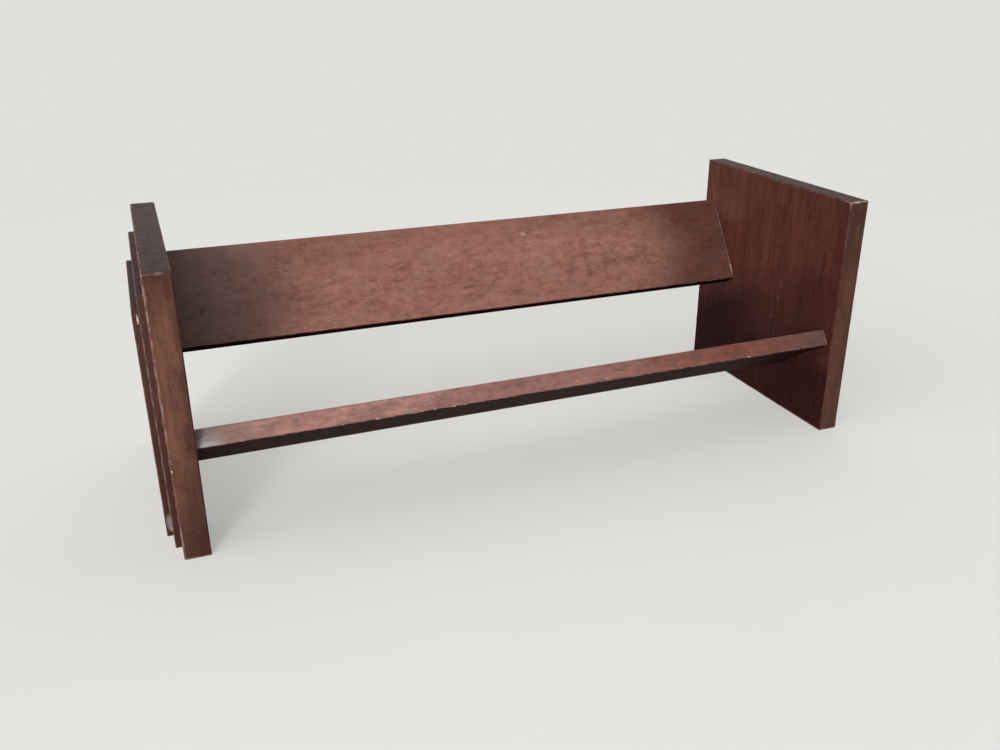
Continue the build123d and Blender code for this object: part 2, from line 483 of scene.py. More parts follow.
def near_spot(tree, place, middle, half_sizes, turn, strength):
    """A share that fades from its strength to 0 over a round spot, in millimetres on the board."""
    spot = {
        "Vector": place,
        "Location": Vector(middle) * MM,
        "Rotation": (0.0, 0.0, turn),
        "Scale": Vector(half_sizes) * MM,
    }
    shape = add_node(tree, MAPPING, {"vector_type": "TEXTURE"}, spot)
    reach = add_node(tree, VECTOR_MATH, {"operation": "LENGTH"}, {0: shape}).outputs["Value"]
    return add_node(tree, MAP_RANGE, SMOOTH, ramp(reach, 1.0, 0.3, most=strength))


def leave_marks(tree, place, colour, marks):
    """Leaves soft-edged marks such as scratches, stains and rubbed spots.

    A mark is its middle and half sizes in millimetres on the board, its turn, colour and strength.
    """
    for middle, half_sizes, turn, towards, strength in marks:
        share = near_spot(tree, place, middle, half_sizes, turn, strength)
        colour = add_node(tree, MIX, OF_COLOURS, {SHARE: share, FIRST: colour, SECOND: towards})
    return colour


# Where the arrises of a board are rubbed, from 0 to 1


def exposed_upright(tree, board, place):
    """End panels are rubbed at the top and on the outside, and hardly on the inside."""
    spot = add_node(tree, SEPARATE, None, {0: place}).outputs
    top = board["size"][0] / 2
    outward = -1.0 if board["side"] == "right" else 1.0
    through = add_node(tree, MATH, TIMES_PLUS, {0: spot[2], 1: outward / board["size"][2], 2: 0.5})
    outside = add_node(tree, MAP_RANGE, SMOOTH, ramp(through, 0.2, 0.8, least=0.04, most=0.47))
    # Hands take hold higher up, so the line fades below the middle.
    reach = add_node(tree, MAP_RANGE, SMOOTH, ramp(spot[0], -55 * MM, -5 * MM, least=0.4))
    # The foot has knocked against things.
    foot = add_node(tree, MAP_RANGE, SMOOTH, ramp(spot[0], 25 * MM - top, 14 * MM - top, most=0.6))
    reach = add_node(tree, MATH, HIGHEST, {0: reach, 1: foot})
    outside = add_node(tree, MATH, TIMES, {0: outside, 1: reach})
    # The upper front corner is rubbed most, on the left end towards its outside.
    at_top = add_node(tree, MAP_RANGE, SMOOTH, ramp(spot[0], top - 9 * MM, top - 3 * MM))
    forwards = ramp(spot[1], -70 * MM, -88 * MM, least=0.3, most=0.65)
    if board["side"] == "right":
        forwards = ramp(spot[1], -83 * MM, -90 * MM, least=0.12)
    at_front = add_node(tree, MAP_RANGE, SMOOTH, forwards)
    corner = add_node(tree, MATH, TIMES, {0: at_top, 1: at_front})
    if board["side"] == "left":
        across = add_node(tree, MAP_RANGE, SMOOTH, ramp(spot[2], -9 * MM, 3 * MM, least=0.25))
        corner = add_node(tree, MATH, TIMES, {0: corner, 1: across})
    return add_node(tree, MATH, HIGHEST, {0: outside, 1: corner})


def exposed_rail(tree, board, place):
    """The seat rail is rubbed raw along its lower front arris, left of the middle."""
    front = -board["size"][1] / 2 / MM
    low = -board["size"][2] / 2 / MM
    raw = near_spot(tree, place, (-112.0, front, low), (80.0, 6.0, 6.0), 0.0, 1.0)
    return add_node(tree, MATH, HIGHEST, {0: raw, 1: 0.6})


# Weathering of the boards, with painted shade and light on some of them. Each function takes the
# colour so far and returns the new one.


def darken_end_grain(tree, board, spot, colour):
    """The sawn top takes more stain than the faces."""
    end_grain = bpy.context.scene.rack_colours.end_grain
    top = board["size"][0] / 2
    return fade_in(tree, colour, end_grain, spot[0], top - 0.5 * MM, top, most=0.9)


def darken_foot(tree, board, spot, colour):
    """Darkens the lower part, most at the foot."""
    end_dark = bpy.context.scene.rack_colours.end_dark
    half_height = board["size"][0] / 2
    lowness = ramp(spot[0], 0.4 * half_height, -half_height, most=0.7)
    share = add_node(tree, MAP_RANGE, None, lowness)
    return add_node(tree, MIX, OF_COLOURS, {SHARE: share, FIRST: colour, SECOND: end_dark})


def scuff_foot(tree, board, spot, figure, colour):
    """The lowest millimetre is scuffed pale where the rack has been slid about."""
    worn = bpy.context.scene.rack_colours.worn
    foot = -board["size"][0] / 2
    lowness = ramp(spot[0], foot + 1.3 * MM, foot + 0.6 * MM, most=0.42)
    low = add_node(tree, MAP_RANGE, SMOOTH, lowness)
    broken = add_node(tree, MAP_RANGE, SMOOTH, ramp(figure["Ribbons"], 0.35, 0.6))
    share = add_node(tree, MATH, TIMES, {0: low, 1: broken})
    return add_node(tree, MIX, OF_COLOURS, {SHARE: share, FIRST: colour, SECOND: worn})


def colour_front_edge(tree, board, spot, figure, tone, colour):
    """Front edges are rubbed brown in blotches, and darker where olive polish has built up."""
    colours = bpy.context.scene.rack_colours
    half_height, half_depth, half_thickness = (length / 2 for length in board["size"])
    blotches = add_node(tree, MAP_RANGE, SMOOTH, ramp(figure["Patches"], 0.38, 0.62, most=0.2))
    lightness = add_node(tree, MATH, TIMES_PLUS, {0: tone, 1: 0.7, 2: blotches})
    grain = {SHARE: lightness, FIRST: colours.edge_dark, SECOND: colours.edge_light}
    rubbed = add_node(tree, MIX, OF_COLOURS, grain)
    # Each band is what it depends on, where it starts, where it is full and how full.
    if board["side"] == "right":
        bands = [(spot[0], -half_height, half_height, 0.9)]
        olive = 0.68
    else:
        # The margin beside the inner arris wanders by some 3 mm.
        margin = add_node(tree, MATH, TIMES_PLUS, {0: figure["Patches"], 1: 12 * MM, 2: spot[2]})
        bands = [
            (spot[0], half_height - 40 * MM, half_height - 2 * MM, 0.6),
            (spot[0], 0.1 * half_height, -0.6 * half_height, 0.4),
            # Darker towards the foot
            (spot[0], -half_height + 62 * MM, -half_height + 14 * MM, 1.0),
            (margin, -half_thickness + 13 * MM, -half_thickness + 8 * MM, 0.6),
            (spot[2], half_thickness - 3 * MM, half_thickness - 1.2 * MM, 0.3),
        ]
        olive = 0.0
    for band in bands:
        share = add_node(tree, MAP_RANGE, SMOOTH, ramp(*band))
        olive = add_node(tree, MATH, HIGHEST, {0: olive, 1: share})
    uneven = add_node(tree, MAP_RANGE, None, ramp(tone, 0.0, 1.0, least=1.1, most=0.7))
    olive = add_node(tree, MATH, TIMES, {0: olive, 1: uneven})
    polished = {SHARE: olive, FIRST: rubbed, SECOND: colours.edge_olive}
    rubbed = add_node(tree, MIX, OF_COLOURS, polished)
    return fade_in(tree, colour, rubbed, spot[1], -half_depth + 1.5 * MM, -half_depth + 0.7 * MM)


def weather_end_panel(tree, board, place, figure, tone, colour):
    """Painted shade and a painted reflection darken the inner face below a slanting line. Above it
    the inner face shows its lighter grain.
    """
    colours = bpy.context.scene.rack_colours
    spot = add_node(tree, SEPARATE, None, {0: place}).outputs
    colour = darken_foot(tree, board, spot, colour)
    colour = colour_front_edge(tree, board, spot, figure, tone, colour)
    grain = {SHARE: tone, FIRST: colours.inside_dark, SECOND: colours.inside_light}
    inside = add_node(tree, MIX, OF_COLOURS, grain)
    # The line runs from low at the back to high at the front.
    height = add_node(tree, MATH, TIMES_PLUS, {0: spot[1], 1: 0.41, 2: spot[0]})
    hazy = add_node(tree, MATH, TIMES_PLUS, {0: figure["Streaks"], 1: 12 * MM, 2: height})
    # The painted shade is least dark in the middle and darkest at the back
    depth = add_node(
        tree, MAP_RANGE, SMOOTH, ramp(spot[1], -25 * MM, 45 * MM, least=0.52, most=0.97)
    )
    below = add_node(tree, MAP_RANGE, SMOOTH, ramp(hazy, 32 * MM, -8 * MM, most=depth))
    # More painted shade towards the foot, and a band of it beside the front arris
    darkest = add_node(tree, MAP_RANGE, None, ramp(tone, 0.0, 1.0, least=1.0, most=0.78))
    lowest = add_node(tree, MAP_RANGE, SMOOTH, ramp(spot[0], -17 * MM, -50 * MM, most=darkest))
    front = add_node(tree, MAP_RANGE, SMOOTH, ramp(spot[1], -70 * MM, -90 * MM, most=0.4))
    shade_share = add_node(tree, MATH, HIGHEST, {0: below, 1: front})
    shade_share = add_node(tree, MATH, HIGHEST, {0: shade_share, 1: lowest})
    # Painted shade and a painted reflection on the inner face, below the line
    inside = add_node(tree, MIX, OF_COLOURS, {SHARE: shade_share, FIRST: inside, SECOND: colours.painted_shade})
    face = board["size"][2] / 2
    inward = 1.0 if board["side"] == "right" else -1.0
    through = add_node(tree, MATH, TIMES, {0: spot[2], 1: inward})
    colour = fade_in(tree, colour, inside, through, face - 1 * MM, face - 0.2 * MM)
    if board["side"] == "right":
        marks = [
            # Painted reflection: the upper back corner is lighter.
            ((56.0, 58.0, 8.0), (18.0, 36.0, 16.0), 0.0, colours.end_light, 0.42),
            # Real scratches are 0.2 mm wide. They are drawn 0.6 to 1 mm wide, so that they show.
            ((9.3, -24.5, 8.0), (4.0, 0.5, 16.0), 0.0, colours.worn, 0.3),
            ((-2.0, -23.2, 8.0), (4.2, 0.5, 16.0), 0.0, colours.worn, 0.25),
            ((-18.5, -17.4, 8.0), (4.0, 0.5, 16.0), 0.0, colours.worn, 0.25),
            ((1.3, -14.7, 8.0), (6.0, 0.8, 16.0), 0.0, colours.worn, 0.1),
            ((14.8, -20.2, 8.0), (3.0, 0.6, 16.0), 0.0, colours.worn, 0.14),
            # The glue of the back board's joint has run on above it.
            ((66.0, 80.4, 8.0), (17.0, 0.9, 16.0), math.radians(17.6), colours.glue, 0.55),
        ]
    else:
        foot = -board["size"][0] / 2 / MM
        marks = [
            # The outer front arris is rubbed grey near the table.
            ((foot + 14.0, -91.0, 8.0), (13.0, 2.0, 1.6), 0.0, colours.grey_wear_and_shade_light, 0.35),
            # Fingers have rubbed the front edge paler below the top.
            ((57.0, -91.0, -1.0), (16.0, 3.0, 6.5), 0.0, colours.edge_light, 0.4),
        ]
    colour = leave_marks(tree, place, colour, marks)
    colour = scuff_foot(tree, board, spot, figure, colour)
    return darken_end_grain(tree, board, spot, colour)


def weather_step_board(tree, board, place, figure, tone, colour):
    """Step boards are dull, and on their front edges also even."""
    colours = bpy.context.scene.rack_colours
    spot = add_node(tree, SEPARATE, None, {0: place}).outputs
    front = -board["size"][1] / 2
    colour = fade_in(
        tree, colour, colours.step, spot[1], front + 3 * MM, front + 1 * MM, most=0.68, least=0.35
    )
    colour = darken_foot(tree, board, spot, colour)
    if board["name"] == "outer_step_left":
        foot = -board["size"][0] / 2 / MM
        # The front edge is rubbed grey just above the table, mostly beside the inner step board.
        marks = [
            ((foot + 9.5, front / MM, -0.6), (8.0, 1.5, 2.6), 0.0, colours.grey_wear_and_shade_light, 0.8),
            ((foot + 5.2, front / MM, -1.4), (2.6, 1.5, 1.4), 0.0, colours.bare, 0.6),
        ]
        colour = leave_marks(tree, place, colour, marks)
    return darken_end_grain(tree, board, spot, colour)


def weather_back_board(tree, board, place, figure, tone, colour):
    """Painted shade and a painted reflection of the right end panel darken the last stretch beside
    the right end, dark and red. Painted light greys the left end, in the shadow of the left end
    panel.
    """
    colours = bpy.context.scene.rack_colours
    spot = add_node(tree, SEPARATE, None, {0: place}).outputs
    colour = fade_in(tree, colour, colours.warm, figure["Spots"], 0.48, 0.7, most=0.3)
    colour = fade_in(tree, colour, colours.back_dark, spot[1], 2 * MM, 34 * MM, most=0.34)
    # Painted shade and a painted reflection of the right end panel darken the last stretch. It
    # starts further left near the top and the bottom.
    off_middle = add_node(tree, MATH, {"operation": "ABSOLUTE"}, {0: spot[1]})
    curved = add_node(tree, MATH, TIMES_PLUS, {0: off_middle, 1: 0.45, 2: spot[0]})
    hazy = add_node(tree, MATH, TIMES_PLUS, {0: figure["Clouds"], 1: 30 * MM, 2: curved})
    colour = fade_in(tree, colour, colours.end_dark, hazy, 150 * MM, 226 * MM, most=0.74)
    # Painted light: grey light in the left end panel's shadow greys the left end
    colour = fade_in(tree, colour, colours.grey_wear_and_shade_light, spot[0], -130 * MM, -215 * MM, most=0.5)
    marks = [
        ((44.0, 22.0, 6.0), (3.2, 1.8, 3.0), -0.4, colours.bare, 0.6),
        ((47.5, 14.5, 6.0), (3.0, 1.2, 3.0), 0.0, colours.bare, 0.3),
        ((56.0, 22.0, 6.0), (6.0, 1.5, 3.0), 0.0, colours.bare, 0.22),
        ((53.0, 15.2, 6.0), (15.0, 1.0, 3.0), 0.02, colours.bare, 0.18),
        ((72.7, -3.0, 6.0), (7.0, 3.5, 3.0), -0.6, colours.warm, 0.35),
        ((54.0, -23.3, 6.0), (7.0, 2.6, 3.0), 0.2, colours.warm, 0.5),
        ((30.6, -30.2, 6.0), (18.0, 3.2, 3.0), 0.0, colours.smoky, 0.45),
        ((74.8, -25.0, 6.0), (18.0, 5.0, 3.0), 0.1, colours.smoky, 0.4),
        ((24.0, -23.6, 6.0), (19.0, 0.9, 3.0), -0.03, colours.end_dark, 0.3),
        ((-59.6, 4.6, 6.0), (11.0, 2.4, 3.0), 0.15, colours.end_dark, 0.24),
        ((0.5, 9.2, 6.0), (13.0, 0.9, 3.0), 0.08, colours.end_dark, 0.32),
        ((78.3, -14.8, 6.0), (5.0, 2.0, 3.0), 0.4, colours.end_dark, 0.24),
        ((94.0, -3.0, 6.0), (3.0, 1.6, 3.0), 0.0, colours.end_dark, 0.28),
        ((-208.1, -9.9, 6.0), (3.0, 4.6, 3.0), -0.4, colours.end_dark, 0.36),
    ]
    colour = leave_marks(tree, place, colour, marks)
    # Painted shade darkens the lower edge, as dark as the painted shade inside the end panels.
    low = -board["size"][1] / 2
    return fade_in(tree, colour, colours.painted_shade, spot[1], low + 1 * MM, low + 0.2 * MM)


def weather_seat_rail(tree, board, place, figure, tone, colour):
    """The front edge is rubbed pale, most of all at the left, and darker to the right, partly with
    painted shade. Painted shade darkens the underside.
    """
    colours = bpy.context.scene.rack_colours
    spot = add_node(tree, SEPARATE, None, {0: place}).outputs
    front = -board["size"][1] / 2
    low = -board["size"][2] / 2
    # Less rubbed and greyer to the right, and painted shade where the light falls off towards the
    # right end
    colour = fade_in(tree, colour, colours.rail_right_and_shade, spot[0], -30 * MM, 150 * MM, most=0.8)
    colour = fade_in(tree, colour, colours.grime_and_shade, spot[0], 165 * MM, 215 * MM, most=0.5)
    # Hands have dulled the middle.
    middle = ((-12.0, front / MM, 0.0), (88.0, 20.0, 20.0), 0.0, colours.rail_dark, 0.75)
    colour = leave_marks(tree, place, colour, [middle])
    # Grey film at the left, and at the right grime with painted shade beside the right end panel,
    # each in a wedge that is wider at the bottom
    colour = fade_in(tree, colour, colours.smoky, spot[0], -172 * MM, -216 * MM, most=0.66)
    hazy = add_node(tree, MATH, TIMES_PLUS, {0: figure["Mottle"], 1: 12 * MM, 2: spot[0]})
    leftwards = add_node(tree, MATH, TIMES_PLUS, {0: spot[2], 1: 0.8, 2: hazy})
    colour = fade_in(tree, colour, colours.film, leftwards, -203 * MM, -222 * MM, most=0.7)
    corner = ((-225.0, front / MM, -7.0), (15.0, 4.0, 7.5), 0.0, colours.dust, 0.68)
    colour = leave_marks(tree, place, colour, [corner])
    # At the right, grime and painted shade beside the right end panel
    rightwards = add_node(tree, MATH, TIMES_PLUS, {0: spot[2], 1: -0.8, 2: spot[0]})
    colour = fade_in(tree, colour, colours.grime_and_shade, rightwards, 212 * MM, 224 * MM, most=0.6)
    # Smudges right of the rubbed stretch, and mottling over everything
    most = add_node(
        tree, MAP_RANGE, SMOOTH, ramp(spot[0], -130 * MM, -20 * MM, least=0.08, most=0.36)
    )
    colour = fade_in(tree, colour, colours.grime_and_shade, figure["Spots"], 0.5, 0.64, most=most)
    shade = add_node(tree, MAP_RANGE, None, ramp(tone, 0.0, 1.0, least=0.82, most=1.23))
    shading = {**OF_COLOURS, "blend_type": "MULTIPLY"}
    colour = add_node(tree, MIX, shading, {SHARE: 1.0, FIRST: colour, SECOND: shade})
    # The faces behind the front edge
    colour = fade_in(
        tree, colour, colours.back_dark, spot[1], front + 0.2 * MM, front + 1 * MM, most=0.4
    )
    # Painted shade darkens the underside
    return fade_in(tree, colour, colours.painted_shade, spot[2], low + 1 * MM, low + 0.2 * MM)


def panel_finish():
    """Deep red-brown polish of the end panels."""
    colours = bpy.context.scene.rack_colours
    return {
        "name": "French-polished mahogany",
        "dark": colours.end_dark,
        "light": colours.end_light,
        "shares": {
            "Ribbons": 0.36,
            "Streaks": 0.38,
            "Fibres": 0.32,
            "Mottle": 0.16,
            "Patches": 0.12,
        },
        "spread": 0.16,
        "smoky_layer": "Patches",
        "smoky_share": 0.05,
        "speck_share": 0.04,
        "pore_share": 0.3,
        "weather": weather_end_panel,
        "exposure": exposed_upright,
        "worn": colours.worn,
        "wear_width": 1.1 * MM,
        "wear_least": 0.14,
        "wear_depth": bpy.context.scene.rack_sizes.arris_wear,
        "roughness": (0.4, 0.52),
        "relief_share": 0.05,
        "specular": 0.04,
        "bare": bare_mahogany("Chalky bare mahogany", colours.chalky),
    }


def step_finish():
    """Polish of the step boards, which are rubbed alike all round."""
    finish = panel_finish()
    finish.update(weather=weather_step_board, exposure=0.42, wear_width=0.5 * MM)
    return finish


def back_finish():
    """Sun-faded varnish of the back board, which is rubbed alike along all its arrises."""
    colours = bpy.context.scene.rack_colours
    finish = panel_finish()
    finish.update(
        name="Sun-faded varnished mahogany",
        dark=colours.back_dark,
        light=colours.back_light,
        shares={
            "Mottle": 0.46,
            "Patches": 0.2,
            "Streaks": 0.2,
            "Fibres": 0.2,
            "Clouds": 0.3,
            "Ripples": 0.14,
        },
        spread=0.2,
        smoky_share=0.2,
        speck_share=0.35,
        pore_share=0.36,
        weather=weather_back_board,
        exposure=0.45,
        wear_width=0.5 * MM,
        roughness=(0.45, 0.58),
        relief_share=0.2,
        specular=0.0,
        bare=bare_mahogany("Bare mahogany", colours.bare),
    )
    return finish


def rail_finish():
    """Rubbed varnish of the seat rail."""
    colours = bpy.context.scene.rack_colours
    finish = back_finish()
    finish.update(
        name="Rubbed varnished mahogany",
        dark=colours.rail_dark,
        light=colours.rail_light,
        shares={"Mottle": 0.45, "Patches": 0.3, "Streaks": 0.22, "Fibres": 0.25},
        smoky_layer="Spots",
        smoky_share=0.5,
        wear_depth=0.35 * MM,
        weather=weather_seat_rail,
        exposure=exposed_rail,
        worn=colours.bare,
        roughness=(0.7, 0.85),
        specular=0.05,
    )
    return finish


# Boards


def deselect_all():
    """Leaves no object selected."""
    bpy.ops.object.select_all(action="DESELECT")


def pick(piece, *others):
    """Selects these objects alone, and makes the first one active."""
    deselect_all()
    for each in (piece, *others):
        each.select_set(True)
    bpy.context.view_layer.objects.active = piece


def select_edges(piece, wanted):
    """Selects, in edit mode, just the edges for which wanted is true."""
    bpy.context.tool_settings.mesh_select_mode = (False, True, False)
    bpy.ops.mesh.select_all(action="DESELECT")
    mesh = bmesh.from_edit_mesh(piece.data)
    for edge in mesh.edges:
        edge.select_set(wanted(edge))
    bmesh.update_edit_mesh(piece.data)


def runs_along(edge, axis):
    """True for an edge that is parallel to the given axis."""
    run = edge.verts[1].co - edge.verts[0].co
    return abs(run[axis]) > 0.99 * run.length


def block_faces(point, half_size):
    """The faces of a block that a point on its surface lies on, as (axis, side) pairs."""
    found = set()
    for axis in range(3):
        for side in (-1, 1):
            if abs(point[axis] - side * half_size[axis]) < 0.01 * MM:
                found.add((axis, side))
    return found


def saw_board(board, arris, sharp_faces):
    """Makes a board along X, with edge loops and rounded arrises.

    Arrises on a sharp face stay sharp: the foot, a glued face or a butt end.
    """
    deselect_all()
    bpy.ops.mesh.primitive_cube_add(size=1.0, location=(0.0, 0.0, 0.0))
    piece = bpy.context.active_object
    piece.name = board["name"]
    piece.data.name = board["name"]
    piece.scale = board["size"]
    bpy.ops.object.transform_apply(location=False, rotation=False, scale=True)
    half_size = [length / 2 for length in board["size"]]
    bpy.ops.object.mode_set(mode="EDIT")
    for axis in range(3):
        cuts = int(board["size"][axis] / bpy.context.scene.rack_sizes.loop_spacing)
        if cuts:
            select_edges(piece, lambda edge: runs_along(edge, axis))
            bpy.ops.mesh.subdivide(number_cuts=cuts)

    def is_arris(edge):
        first, second = (block_faces(vertex.co, half_size) for vertex in edge.verts)
        shared = first & second
        return len(shared) > 1 and not shared & sharp_faces

    select_edges(piece, is_arris)
    bpy.ops.mesh.bevel(offset=arris, segments=4, affect="EDGES")
    # The outermost loops stay put, so that the flat faces stay flat.
    bpy.ops.mesh.select_less()
    bpy.ops.object.vertex_group_assign_new()
    bpy.ops.object.mode_set(mode="OBJECT")
    piece.vertex_groups.active.name = "arrises"
    return piece


def put_in_place(piece, board):
    """Turns and moves a board to its place, and leaves its object at the origin."""
    piece.rotation_euler = board["turn"]
    piece.location = board["centre"]
    pick(piece)
    bpy.ops.object.transform_apply(location=True, rotation=True, scale=True)


def wear_arrises(piece, depth):
    """Wears shallow hollows into the arrises, inwards only."""
    texture = bpy.data.textures.new(f"{piece.name}_wear", "CLOUDS")
    texture.noise_scale = 9.0 * MM
    texture.noise_depth = 2
    hollows = piece.modifiers.new("worn_arrises", "DISPLACE")
    hollows.texture = texture
    hollows.texture_coords = "LOCAL"
    hollows.vertex_group = "arrises"
    hollows.mid_level = 0.0
    hollows.strength = -depth
    pick(piece)
    bpy.ops.object.modifier_apply(modifier=hollows.name)
    bpy.data.textures.remove(texture)


def cut_away(piece, cutters, bare):
    """Cuts these meshes out of a piece. The cut faces are bare wood."""
    if not cutters:
        return
    for cutter in cutters:
        cutter.data.materials.append(bare)
    pick(*cutters)
    if len(cutters) > 1:
        bpy.ops.object.join()
    tool = cutters[0]
    cut = piece.modifiers.new("cut", "BOOLEAN")
    cut.operation = "DIFFERENCE"
    cut.solver = "EXACT"
    cut.use_self = True
    cut.material_mode = "TRANSFER"
    cut.object = tool
    pick(piece)
    bpy.ops.object.modifier_apply(modifier=cut.name)
    old_mesh = tool.data
    bpy.data.objects.remove(tool)
    bpy.data.meshes.remove(old_mesh)


def nick_cutters(nicks, seed):
    """Irregular lumps. Each nick is its middle and its half sizes in millimetres."""
    dice = random.Random(seed)
    cutters = []
    for middle, half_sizes in nicks:
        deselect_all()
        spot = Vector(middle) * MM
        bpy.ops.mesh.primitive_ico_sphere_add(subdivisions=2, radius=1.0, location=spot)
        cutter = bpy.context.active_object
        cutter.scale = Vector(half_sizes) * MM
        bpy.ops.object.transform_apply(location=False, rotation=False, scale=True)
        for vertex in cutter.data.vertices:
            vertex.co *= dice.uniform(0.7, 1.2)
        bpy.ops.object.transform_apply(location=True, rotation=True, scale=True)
        cutters.append(cutter)
    return cutters


def scattered_nicks(start, end, count, seed, coarseness=1.0):
    """Small nicks at random along an arris, from its start to its end, in millimetres."""
    dice = random.Random(seed)
    start, end = Vector(start), Vector(end)
    run = (end - start).normalized()
    nicks = []
    for number in range(count):
        middle = start.lerp(end, (number + dice.uniform(0.1, 0.9)) / count)
        depth = coarseness * dice.uniform(0.3, 0.6)
        length = coarseness * dice.uniform(0.5, 2.2)
        nicks.append((middle, [depth + abs(part) * (length - depth) for part in run]))
    return nicks


def turned_cutter(start, direction, profile):
    """A round cutter along X from its start. Its profile is a list of (distance, radius)."""
    deselect_all()
    first_distance, radius = profile[0]
    step = Vector((direction, 0.0, 0.0))
    bpy.ops.mesh.primitive_circle_add(
        vertices=24,
        radius=radius,
        fill_type="NGON",
        location=start + first_distance * step,
        rotation=(0.0, direction * QUARTER_TURN, 0.0),
    )
    cutter = bpy.context.active_object
    bpy.ops.object.transform_apply(location=True, rotation=True, scale=True)
    bpy.ops.object.mode_set(mode="EDIT")
    bpy.ops.mesh.select_all(action="SELECT")
    at = first_distance
    for distance, next_radius in profile[1:]:
        move = (distance - at) * step
        bpy.ops.mesh.extrude_region_move(TRANSFORM_OT_translate={"value": move})
        ratio = next_radius / radius
        bpy.ops.transform.resize(value=(1.0, ratio, ratio), center_override=start + distance * step)
        at, radius = distance, next_radius
    bpy.ops.mesh.select_all(action="SELECT")
    bpy.ops.mesh.normals_make_consistent(inside=False)
    bpy.ops.object.mode_set(mode="OBJECT")
    return cutter


def screw_heads(joint, side):
    """The middles of the two screw heads of a joint, from the box of its screws."""
    low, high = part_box(f"{joint}_screws_{side}")
    radius = bpy.context.scene.rack_sizes.screw_head_radius
    head_x = high.x if side == "right" else low.x
    ends = [(low.y + radius, low.z + radius), (high.y - radius, high.z - radius)]
    if joint == "seat_rail":
        ends = [(low.y + radius, high.z - radius), (high.y - radius, low.z + radius)]
    return [Vector((head_x, y, z)) for y, z in ends]


def countersunk_holes(side, thickness):
    """Cutters for the screw holes of an end panel."""
    sizes = bpy.context.scene.rack_sizes
    head = sizes.screw_head_radius + sizes.screw_clearance
    shank = sizes.screw_shank_radius + sizes.screw_clearance
    cone_end = sizes.screw_head_rim + head - shank
    overrun = 1 * MM
    profile = [
        (-overrun, head),
        (sizes.screw_head_rim, head),
        (cone_end, shank),
        (thickness + overrun, shank),
    ]
    inward = -1.0 if side == "right" else 1.0
    return [
        turned_cutter(spot, inward, profile)
        for joint in JOINTS
        for spot in screw_heads(joint, side)
    ]


def pilot_holes(joint):
    """Cutters for the screw holes in both ends of a lengthwise board."""
    sizes = bpy.context.scene.rack_sizes
    low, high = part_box("end_panel_left")
    panel_thickness = high.x - low.x
    radius = sizes.screw_shank_radius + sizes.screw_clearance / 2
    overrun = 1 * MM
    profile = [
        (panel_thickness - overrun, radius),
        (sizes.screw_length - overrun, radius),
        (sizes.screw_length + overrun, radius / 2),
    ]
    return [
        turned_cutter(spot, -1.0 if side == "right" else 1.0, profile)
        for side in SIDES
        for spot in screw_heads(joint, side)
    ]


def upright_board(node, name, side, plank_place):
    """A board that stands upright with its grain vertical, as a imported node's box gives it."""
    low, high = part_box(node)
    size = high - low
    return {
        "name": name,
        "node": node,
        "side": side,
        "centre": (low + high) / 2,
        "size": (size.z, size.y, size.x),
        "turn": Euler((0.0, -QUARTER_TURN, 0.0)),
        "plank_place": plank_place,
        "grain_slope": math.radians(1.0),
    }


def lengthwise_board(node, name, turn, width, thickness, plank_place):
    """A board that runs from end to end, turned about X."""
    low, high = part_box(node)
    return {
        "name": name,
        "node": node,
        "centre": (low + high) / 2,
        "size": (high.x - low.x, width, thickness),
        "turn": Euler((turn, 0.0, 0.0)),
        "plank_place": plank_place,
        "grain_slope": math.radians(1.5),
    }


def make_board(board, arris, sharp_faces, finish, cutters):
    """Saws, places, wears, cuts and finishes a board, and hands it to the frame."""
    piece = saw_board(board, arris, sharp_faces)
    piece.data.materials.append(varnished_mahogany(board, finish))
    put_in_place(piece, board)
    wear_arrises(piece, finish["wear_depth"])
    cut_away(piece, cutters, finish["bare"])
    pick(piece)
    bpy.ops.object.shade_smooth_by_angle(angle=math.radians(35.0))
    flat_faces = piece.modifiers.new("flat_faces", "WEIGHTED_NORMAL")
    flat_faces.keep_sharp = True
    bpy.ops.object.modifier_apply(modifier=flat_faces.name)
    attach(piece, "root")
    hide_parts(board["node"])
    return piece


def mirrored(nicks):
    """The same nicks on the other end of the rack."""
    return [((-x, y, z), half_sizes) for (x, y, z), half_sizes in nicks]


def on_lean(board, along, across, depth=0.0):
    """A place on a leaning board in millimetres, from the middle of its front face or edge."""
    local = Vector((along * MM, across * MM, board["size"][2] / 2 - depth * MM))
    return tuple((board["turn"].to_matrix() @ local + board["centre"]) / MM)


